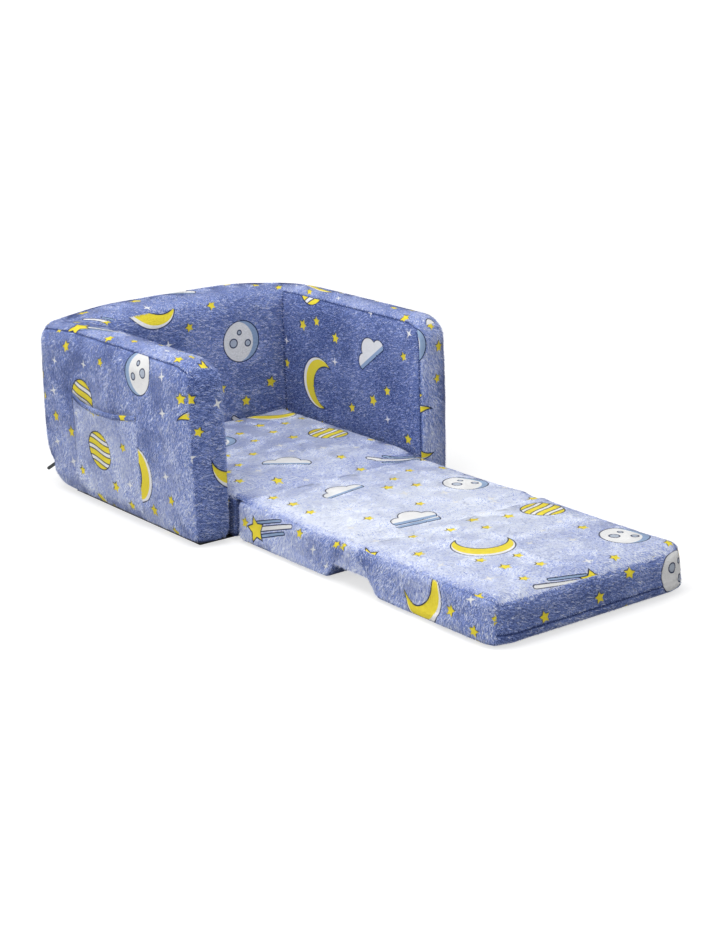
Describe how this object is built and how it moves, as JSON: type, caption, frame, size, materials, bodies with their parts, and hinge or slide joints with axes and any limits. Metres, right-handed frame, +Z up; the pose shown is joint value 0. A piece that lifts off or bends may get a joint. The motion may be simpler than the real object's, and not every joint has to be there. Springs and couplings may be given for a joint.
{
  "type": "child's flip-open sofa",
  "caption": "Child's soft foam sofa in plush covers, with arms and a back, whose folding pads flip open into a flat lounger, and an arm pocket.",
  "frame": {"origin": "on the floor, under the middle of the opened sofa's outline", "axes": "+Z up, +Y from the foot of the opened bed to the back, +X to the right arm of someone who looks at the sofa from the front"},
  "size_m": [0.6107, 1.3, 0.345],
  "materials": {
    "plush": "matte",
    "foam": "matte",
    "base_fabric": "matte",
    "zip_tape": "matte",
    "zip_teeth": "satin",
    "zip_slider": "satin",
    "zip_puller": "matte"
  },
  "bodies": {
    "sofa_body": {"body_cover": "plush", "left_arm_foam": "foam", "back_foam": "foam", "right_arm_foam": "foam", "base_panel": "base_fabric", "seat_base_cover": "plush", "seat_base_foam": "foam", "left_arm_pocket": "plush", "pocket_hem": "plush", "body_zip_tape": "zip_tape", "body_zip_teeth": "zip_teeth", "body_zip_slider": "zip_slider", "body_zip_puller": "zip_puller"},
    "middle_pad": {"middle_pad_cover": "plush", "middle_pad_foam": "foam", "seat_fold_strip": "plush", "pad_fold_strip": "plush", "left_fold_gusset": "plush", "right_fold_gusset": "plush", "middle_pad_zip_tape": "zip_tape", "middle_pad_zip_teeth": "zip_teeth", "middle_pad_zip_slider": "zip_slider", "middle_pad_zip_puller": "zip_puller"},
    "end_pad": {"end_pad_cover": "plush", "end_pad_foam": "foam", "end_pad_zip_tape": "zip_tape", "end_pad_zip_teeth": "zip_teeth", "end_pad_zip_slider": "zip_slider", "end_pad_zip_puller": "zip_puller"}
  },
  "joints": [
    {"name": "seat_fold", "type": "hinge", "parent": "sofa_body", "child": "middle_pad", "pos_m": [0, 0.07, 0.0883], "axis": [-1, 0, 0], "range_deg": [0, 180]},
    {"name": "pad_fold", "type": "hinge", "parent": "middle_pad", "child": "end_pad", "pos_m": [0, -0.27, 0.0883], "axis": [1, 0, 0], "range_deg": [0, 65.01], "deforming": ["left_fold_gusset", "right_fold_gusset"]}
  ],
  "couplings": [
    {"joint": "pad_fold", "follows": "seat_fold", "ratio": 0.36117}
  ]
}
